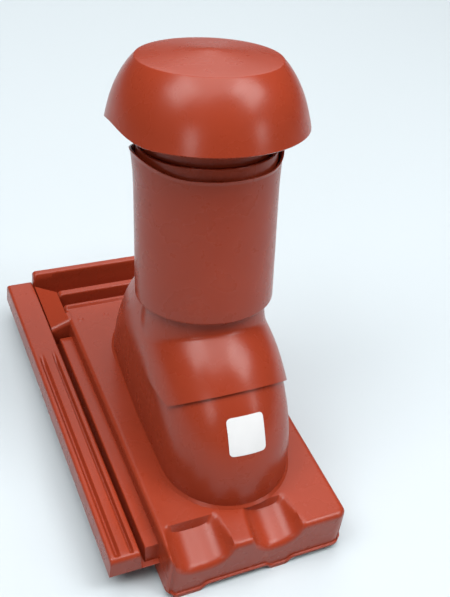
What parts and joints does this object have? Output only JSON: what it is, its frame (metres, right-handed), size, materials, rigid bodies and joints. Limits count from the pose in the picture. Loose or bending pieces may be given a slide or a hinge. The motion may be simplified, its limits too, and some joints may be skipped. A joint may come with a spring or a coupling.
{
  "type": "roof_tile_vent",
  "caption": "Plastic roof tile with a moulded dome that carries a swivelling vent stack under a round rain hood; ribbed side lap, head lap and a hose spigot below.",
  "frame": {"origin": "On the plane the tile rests on, below the middle of the tile's outline.", "axes": "+X across the tile to the side without the lap, +Y up the slope to the ridge, +Z off the roof."},
  "size_m": [0.224, 0.402, 0.4088],
  "materials": {
    "terracotta_plastic": "satin",
    "inner_plastic": "matte",
    "label_paper": "satin"
  },
  "bodies": {
    "tile": {"base_tile": "terracotta_plastic", "label": "label_paper"},
    "stack": {"swivel_skirt": "terracotta_plastic", "inner_slide": "inner_plastic", "outer_tube": "terracotta_plastic", "vent_pipe": "inner_plastic", "cap_collar": "terracotta_plastic", "rain_hood": "terracotta_plastic"}
  },
  "joints": [
    {"name": "pitch_swivel", "type": "hinge", "parent": "tile", "child": "stack", "pos_m": [0.02155, -0.022, 0.052], "axis": [-1, 0, 0], "range_deg": [-2, 15]}
  ]
}
